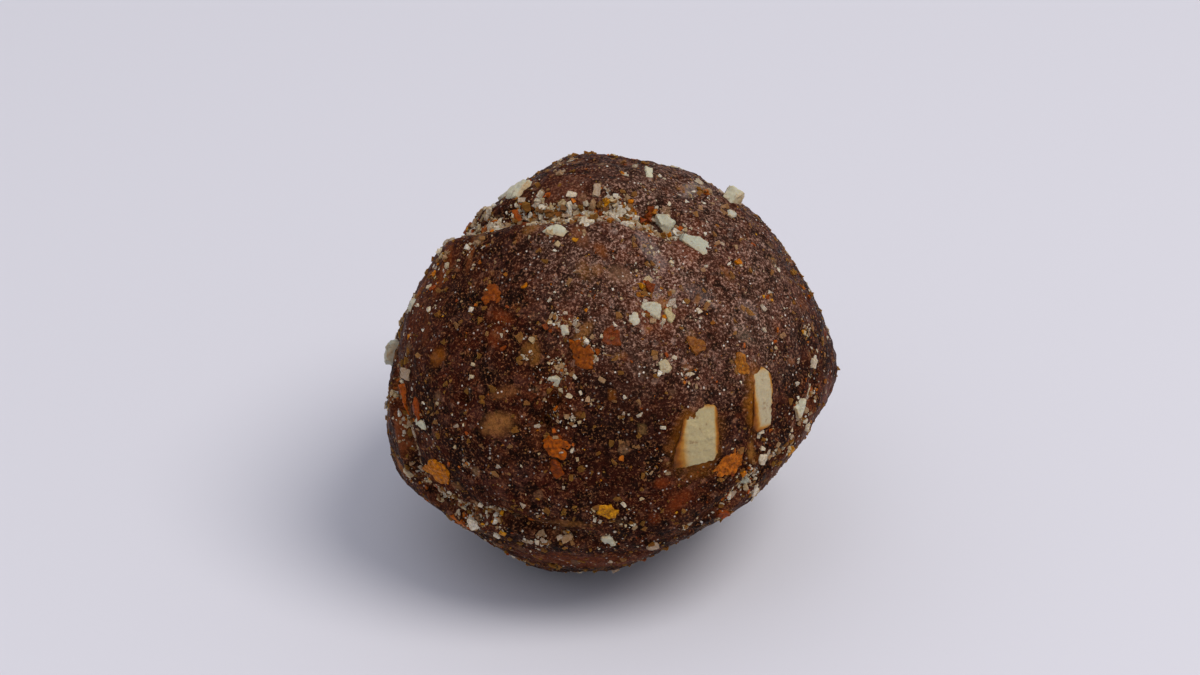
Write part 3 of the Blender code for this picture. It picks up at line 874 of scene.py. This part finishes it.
FLAKES = (
    (-41, 42, 1.7, 1.5, 20),
    (-6, 32, 2.3, 1.7, 35),
    (2, 37, 1.5, 1.4, 0),
    (-12.5, 8, 2.0, 1.6, 70),
    (-12, 2, 1.5, 0.9, 20),
    (-46, -8, 2.7, 2.4, -30),
    (-44, -25, 1.9, 1.4, 15),
    (-53, 7, 1.8, 0.9, 10),
    (-60, 6, 2.4, 1.0, 15),
    (32, 0, 2.7, 1.8, -40),
    (39, 24, 1.7, 1.0, 0),
    (28, 32, 1.5, 1.2, 30),
    (1, -11, 1.7, 1.3, 80),
)
FLAKE_THICKNESS = 0.6
FLAKE_STAND = 0.17
FLAKE_WEAR = (0.17, 0.14, 0.3)
HIDDEN_FLAKES = 10
HIDDEN_FLAKE_SIZE = (1.2, 2.4)
CRUMB_SLENDER = (0.6, 0.9)
CRUMB_TAPER = 0.2
FLAKE_TONES = ("#8a4206", "#8c4608", "#74350e", "#a04e04", "#7c3604", "#c07000", "#b45c0c",
               "#8a3c0a", "#a85010", "#b06012", "#9c6018", "#84501c", "#c48412")


def skin_material(name):
    """Nut skin soaked in oil: thin, see-through amber, with darker veins and a satin gloss."""
    tree, skin, material = new_material(name)
    place = add_node(tree, "ShaderNodeTexCoord").outputs["Object"]
    tone = add_node(tree, "ShaderNodeAttribute", {"attribute_name": "tone"}).outputs["Color"]
    veins = add_node(tree, "ShaderNodeTexNoise", Vector=place, Scale=1 / (0.3 * MM), Detail=5,
                     Roughness=0.7).outputs["Fac"]
    dark = add_node(tree, "ShaderNodeMapRange", Value=veins, From_Min=0.62, From_Max=0.38, To_Min=0.0,
                    To_Max=0.75).outputs[0]
    colour = add_node(tree, "ShaderNodeMix", {"data_type": "RGBA"}, i0=dark, i6=tone,
                      i7=rgb("#3d1405")).outputs[2]
    bump = add_node(tree, "ShaderNodeBump", Strength=0.5, Distance=0.06 * MM, Height=veins)
    tree.links.new(colour, skin.inputs["Base Color"])
    tree.links.new(bump.outputs[0], skin.inputs["Normal"])
    skin.inputs["Roughness"].default_value = 0.42
    skin.inputs["IOR"].default_value = 1.45
    skin.inputs["Specular IOR Level"].default_value = 0.1
    skin.inputs["Subsurface Weight"].default_value = 0.25
    skin.inputs["Subsurface Radius"].default_value = (1.0, 0.4, 0.1)
    skin.inputs["Subsurface Scale"].default_value = 0.3 * MM
    return material


def flake_finish(piece, number):
    weather(piece, *FLAKE_WEAR, number)
    return (*rgb(FLAKE_TONES[len(skins.tones) % len(FLAKE_TONES)]), 1)


skins = Heap()


def lay_flake(place, length, width, turn):
    toppings.lay(skins, place, length, width, FLAKE_THICKNESS, FLAKE_STAND, turn, CRUMB_TAPER,
                 NUT_SIDES, flake_finish)


def lay_any_flake(place, size):
    lay_flake(place, size, size * draw.uniform(*CRUMB_SLENDER), draw.uniform(0, 180))


for bearing, height, *rest in FLAKES:
    lay_flake((bearing, height), *rest)
toppings.scatter(HIDDEN_FLAKES, HIDDEN_FLAKE_SIZE, hidden, lay_any_flake)

# Crumbs. What the knife leaves beside the chips: angular bits of nut and skin of 0.6 to 1.2 mm,
# thick in the folds, where the palms don't rub them off, and thin elsewhere.

FOLD_CRUMBS = 28
FOLD_SPREAD = 0.8
SEAM_CRUMBS = 7
SEAM_SPREAD = 1.0
HIDDEN_CRUMBS = 20
CRUMB_SIZE = (0.6, 1.15)
CRUMB_DEEP = 0.7
CRUMB_STAND = 0.22
CRUMB_SIDES = 5
CRUMB_WEAR = (0.25, 0.07, 0.12)
CRUMB_OILED = 0.1
SKIN_SHARE = 0.25
CRUMB_TONES = ("#d0cab8", "#bcb6a6", "#dedacc", "#a2968a", "#aaa59c", "#8c7460", "#beb49c",
               "#84705e", "#b0a082")


def along(places, spread, left_out=0):
    """A rule that gives places beside a seam, with some of its points left out at both ends."""
    path = smooth_path(places)

    def pick(draw):
        out = path[draw.randrange(left_out, SEAM_POINTS - left_out)]
        out = out + np.array([draw.gauss(0, spread) for _ in range(3)]) / REACH
        return place_of(out / np.linalg.norm(out))

    return pick


def crumb_finish(tones):
    """A rule that weathers a crumb and gives it the next of the colours."""

    def finish(piece, number):
        weather(piece, *CRUMB_WEAR, number)
        return (*rgb(tones[number % len(tones)]), CRUMB_OILED)

    return finish


crumbs = Heap()


def lay_any_crumb(place, size):
    is_skin = draw.random() < SKIN_SHARE
    width = size * draw.uniform(*CRUMB_SLENDER)
    turn = draw.uniform(0, 180)
    heap, tones = (skins, FLAKE_TONES) if is_skin else (crumbs, CRUMB_TONES)
    toppings.lay(heap, place, size, width, CRUMB_DEEP * size, CRUMB_STAND, turn, CRUMB_TAPER,
                 CRUMB_SIDES, crumb_finish(tones))


toppings.scatter(FOLD_CRUMBS, CRUMB_SIZE, along(TOP_FOLD, FOLD_SPREAD), lay_any_crumb)
for seam in (LEFT_SEAM, RIGHT_SEAM, BACK_FOLD, BACK_SEAM):
    toppings.scatter(SEAM_CRUMBS, CRUMB_SIZE, along(seam, SEAM_SPREAD), lay_any_crumb)
toppings.scatter(HIDDEN_CRUMBS, CRUMB_SIZE, hidden, lay_any_crumb)
skins.make("skin_flakes", skin_material("oiled_nut_skin"), True)

# Fine crumbs. The same nut, skin and date, ground to 0.09 to 0.85 mm, far more of them small than
# large. They lie in clusters, thick in the folds. A few angular shapes, turned and sized at random,
# are joined to one mesh for each kind.

# Along the seams: how wide, how many clusters, crumbs in each, the largest crumb.
FINE_FIELDS = (
    (TOP_FOLD, 0.7, 90, 26, 0.7),
    (LEFT_SEAM, 0.5, 24, 20, 0.5),
    (RIGHT_SEAM, 0.9, 20, 18, 0.5),
    (FRONT_CRACK, 1.0, 9, 20, 0.45),
    (BACK_FOLD, 0.7, 30, 20, 0.6),
    (BACK_SEAM, 0.7, 16, 16, 0.5),
)
SEAM_ENDS = 7

# Clusters that the front shows: bearing, height, crumbs, the largest crumb, how wide.
SEEN_CLUSTERS = (
    (88, 66, 34, 0.85, 0.8),
    (24, 59, 24, 0.3, 0.6),
    (21, 53, 16, 0.25, 0.5),
    (-8, 48, 12, 0.4, 0.45),
    (-3, 48, 10, 0.4, 0.4),
    (51, 23, 12, 0.3, 0.5),
    (18, 45, 40, 0.8, 0.9),
    (16, 42, 20, 0.6, 0.5),
    (24, 50, 12, 0.6, 0.5),
    (-13, 38, 9, 0.5, 0.4),
    (-20, 38, 8, 0.4, 0.5),
    (-29, 63, 16, 0.55, 0.6),
    (-65, 57, 12, 0.5, 0.6),
    (-14, 25, 13, 0.5, 0.6),
    (-14, 18, 10, 0.4, 0.5),
    (-18, 13, 10, 0.45, 0.35),
    (-59, 31, 14, 0.45, 0.7),
    (-70, 28, 12, 0.5, 0.6),
    (-66, 38, 20, 0.75, 0.8),
    (-71, 42, 24, 0.75, 1.0),
    (-60, 50, 16, 0.7, 0.8),
    (-33, 36, 12, 0.45, 0.5),
    (-51, 4, 16, 0.6, 0.5),
    (-57, -9, 24, 0.6, 0.6),
    (-46, -17, 26, 0.6, 0.6),
    (-36, -21, 24, 0.7, 0.6),
    (-20, -24, 20, 0.5, 0.7),
    (1, -22, 22, 0.6, 0.6),
    (56, 6, 16, 0.6, 0.4),
    (52, -4, 16, 0.6, 0.5),
    (38, -8, 14, 0.5, 0.5),
    (17, 28, 12, 0.45, 0.4),
    (30, 14, 10, 0.4, 0.4),
)
CLUSTER_SPREAD = 0.32

# The first chips have no crumbs on this share of their reach.
BARE_CHIPS = 7
BARE_SHARE = 0.75

# Elsewhere there are crumbs beside each larger piece, loose clusters, and single crumbs.
FINE_BESIDE = (2, 12)
BESIDE_LARGEST = 0.45
BESIDE_SPREAD = (0.6, 0.2)
FINE_CLUSTERS = 155
FINE_IN_CLUSTER = (3, 14)
LOOSE_LARGEST = 0.5
FINE_NUTS = 1000
FINE_SKINS = 700
DATE_GRAINS = 4900
DATE_LARGEST = 0.6
DATE_SUNK = 0.3
# Where the painted sheen lies, date grains more often take its lighter, painted tones.
SHEENED_MORE = 1.4

# What a crumb is of, how small, and how it lies: how deep, how uneven, how tilted, how turned.
FINE_SMALLEST = 0.09
MOSTLY_SMALL = 2.0
FINE_OF_SKIN = 0.13
FINE_OF_DATE = 0.15
FINE_SUNK = 0.2
FINE_DRIFT = 0.25
FINE_TILT = 0.4
FULL_TURN = 6.3

# Their shapes, about 1 across. Those above a size are worn, and the others are plain.
SHAPES = 16
SHAPE_LENGTH = 1.1
SHAPE_WIDTH = (0.6, 1.0)
SHAPE_DEEP = (0.5, 0.9)
SHAPE_TAPER = (0, 0.4)
PLAIN_SIDES = 3
COARSE_WEAR = (0.6, 0.3, 0.2)
COARSE_FROM = 0.5

# Crumbs of date, plain, and lighter ones that are painted sheen where the window light falls.
DATE_TONES = ("#3a1a10", "#4a2616", "#5c3624", "#4e220f", "#5e4034")
SHEENED_TONES = ("#6a4636", "#745646", "#603c2c", "#7e6254", "#583424")


def crumb_shapes(sides, wear):
    """A few ragged shapes, as arrays of points and faces."""
    made = []
    for _ in range(SHAPES):
        width = draw.uniform(*SHAPE_WIDTH)
        thickness = draw.uniform(*SHAPE_DEEP)
        taper = draw.uniform(*SHAPE_TAPER)
        piece = chopped(SHAPE_LENGTH, width, thickness, taper, sides, draw)
        if wear:
            weather(piece, *wear, len(made))
        points = np.array([vert.co for vert in piece.verts])
        faces = np.array([[vert.index for vert in face.verts] for face in piece.faces])
        piece.free()
        made.append((points, faces))
    return made


def fine_size(largest):
    """Mostly small, seldom large."""
    return FINE_SMALLEST * (largest / FINE_SMALLEST) ** (draw.random() ** MOSTLY_SMALL)


def lay_fine(heap, tones, place, size, sunk=FINE_SUNK):
    """Puts one fine crumb on the ball, turned any way and partly sunk."""
    out = toward(*place)
    if any(math.acos(min(1, out @ chip)) * REACH < BARE_SHARE * reach for chip, reach in bare):
        return
    out = Vector(out)
    middle = Vector(MIDDLE) * MM
    point, normal, *_ = toppings.surface.ray_cast(middle + out * 2 * REACH * MM, -out)
    tilt = Vector([draw.uniform(-FINE_TILT, FINE_TILT) for _ in range(3)])
    normal = (normal + tilt).normalized()
    spin = Matrix.Rotation(draw.uniform(0, FULL_TURN), 3, "Z")
    turned = np.array(normal.to_track_quat("Z", "Y").to_matrix() @ spin)
    points, faces = draw.choice(coarse_shapes if size > COARSE_FROM else plain_shapes)
    middle = np.array(point + normal * size * (draw.uniform(-FINE_DRIFT, FINE_DRIFT) - sunk) * MM)
    tone = (*rgb(draw.choice(tones)), CRUMB_OILED)
    heap.add(points @ turned.T * size * MM + middle, faces, tone)


def lay_mixed(place, size, sunk):
    """A crumb of nut, skin or date, as they fall from the knife."""
    kind = draw.random()
    if kind < FINE_OF_SKIN:
        lay_fine(fine_skin, FLAKE_TONES, place, size, sunk)
    elif kind < FINE_OF_SKIN + FINE_OF_DATE:
        lay_fine(fine_date, DATE_TONES, place, size, sunk)
    else:
        lay_fine(crumbs, CRUMB_TONES, place, size, sunk)


def lay_cluster(place, number, largest, spread, sunk=FINE_SUNK):
    for _ in range(number):
        lay_mixed(toppings.beside(place, spread), fine_size(largest), sunk)


plain_shapes = crumb_shapes(PLAIN_SIDES, None)
coarse_shapes = crumb_shapes(CRUMB_SIDES, COARSE_WEAR)
fine_skin = Heap()
fine_date = Heap()
bare = toppings.taken[:BARE_CHIPS]
for places, spread, clusters, number, largest in FINE_FIELDS:
    pick = along(places, spread, SEAM_ENDS)
    for _ in range(clusters):
        place = pick(draw)
        lay_cluster(place, draw.randrange(number // 2, 3 * number // 2), largest, CLUSTER_SPREAD, 0)
for out, reach in toppings.taken[:]:
    spread = BESIDE_SPREAD[0] * reach + BESIDE_SPREAD[1]
    lay_cluster(place_of(out), draw.randrange(*FINE_BESIDE), BESIDE_LARGEST, spread)
for bearing, height, number, largest, spread in SEEN_CLUSTERS:
    lay_cluster((bearing, height), number, largest, spread)
for _ in range(FINE_CLUSTERS):
    lay_cluster(anywhere(draw), draw.randrange(*FINE_IN_CLUSTER), LOOSE_LARGEST, CLUSTER_SPREAD)
for _ in range(FINE_NUTS):
    lay_fine(crumbs, CRUMB_TONES, anywhere(draw), fine_size(LOOSE_LARGEST))
for _ in range(FINE_SKINS):
    lay_fine(fine_skin, FLAKE_TONES, anywhere(draw), fine_size(LOOSE_LARGEST))
for _ in range(DATE_GRAINS):
    place = anywhere(draw)
    # Under the painted sheen, more grains take the lighter tones of painted sheen.
    sheened = draw.random() < SHEENED_MORE * painted_sheen_on(toward(*place)[None])[0]
    tones = SHEENED_TONES if sheened else DATE_TONES
    lay_fine(fine_date, tones, place, fine_size(DATE_LARGEST), DATE_SUNK)

# Ground nut is floury and greyer than a cut chip. Ground date is brown and matt.
ground_nut = nut_flesh_material("ground_nut", "#8f8c86", 0.7, 0.15)
ground_date = nut_flesh_material("ground_date_crumb", "#8a7060", 0.5, 0.02)
crumbs.make("nut_crumbs", ground_nut, False)
fine_skin.make("skin_crumbs", skin_material("ground_nut_skin"), False)
fine_date.make("date_crumbs", ground_date, False)

# Floor. The pale lilac grey top that the ball lies on, as a plain matt sheet, wide enough to fill
# every view.

FLOOR_SIDE = 1.6
FLOOR_COLOUR = "#d0cfd6"


def floor():
    sheet = bmesh.new()
    bmesh.ops.create_grid(sheet, x_segments=1, y_segments=1, size=FLOOR_SIDE / 2)
    mesh = bpy.data.meshes.new("floor")
    sheet.to_mesh(mesh)
    sheet.free()
    tree, card, material = new_material("matt_card")
    card.inputs["Base Color"].default_value = (*rgb(FLOOR_COLOUR), 1)
    card.inputs["Roughness"].default_value = 0.9
    mesh.materials.append(material)
    made = bpy.data.objects.new("floor", mesh)
    bpy.context.scene.collection.objects.link(made)
    made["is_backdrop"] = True


floor()

# Light. A soft window to the right and a little in front, and a weak fill from the front left,
# over an even pale sky.

# Each is where it is in metres, its width in metres, its power in watts.
WINDOW = ((0.43, -0.3, 0.83), 0.54, 6.2)
CEILING = ((-0.1, -0.5, 0.8), 0.7, 1.1)
SKY = ("#e6e8f2", 0.64)


def area_light(name, place, side, power, colour):
    light = bpy.data.lights.new(name, "AREA")
    light.shape = "DISK"
    light.size = side
    light.energy = power
    light.color = rgb(colour)
    made = bpy.data.objects.new(name, light)
    made.location = place
    aim = Vector((0, 0, REACH * MM)) - Vector(place)
    made.rotation_euler = aim.to_track_quat("-Z", "Y").to_euler()
    bpy.context.scene.collection.objects.link(made)


area_light("window", *WINDOW, "#fffaf4")
area_light("ceiling", *CEILING, "#f0f2ff")
world = bpy.data.worlds.new("sky")
world.use_nodes = True
sky = world.node_tree.nodes["Background"]
sky.inputs["Color"].default_value = (*rgb(SKY[0]), 1)
sky.inputs["Strength"].default_value = SKY[1]
bpy.context.scene.world = world
bpy.context.scene.view_settings.view_transform = "Standard"

# Camera. A long lens close by, looking down at the ball by 30 degrees, so near that the ball is
# as wide in the picture as in the photograph.

PHOTO = (1200, 675)
BALL_IN_PHOTO = (604, 362)
BALL_PIXELS = 457
LENS = 100.0
SENSOR = 36.0
LOOK_DOWN = 30.0


def camera():
    pixel = BALL_SIZE[0] / BALL_PIXELS
    distance = pixel * PHOTO[0] / SENSOR * LENS
    down = math.radians(LOOK_DOWN)
    back = Vector((0, -math.cos(down), math.sin(down)))
    up = Vector((0, math.sin(down), math.cos(down)))
    right = Vector((1, 0, 0))
    aim = Vector(MIDDLE) - right * (BALL_IN_PHOTO[0] - PHOTO[0] / 2) * pixel
    aim += up * (BALL_IN_PHOTO[1] - PHOTO[1] / 2) * pixel
    lens = bpy.data.cameras.new("camera")
    lens.lens = LENS
    lens.sensor_width = SENSOR
    lens.clip_start = 0.01
    made = bpy.data.objects.new("camera", lens)
    made.location = (aim + back * distance) * MM
    made.rotation_euler = (-back).to_track_quat("-Z", "Y").to_euler()
    bpy.context.scene.collection.objects.link(made)
    bpy.context.scene.camera = made


camera()

boxes = {"cad": cad_box, "visual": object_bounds()}
for name, box in boxes.items():
    boxes[name] = [[float(value) for value in corner] for corner in box]
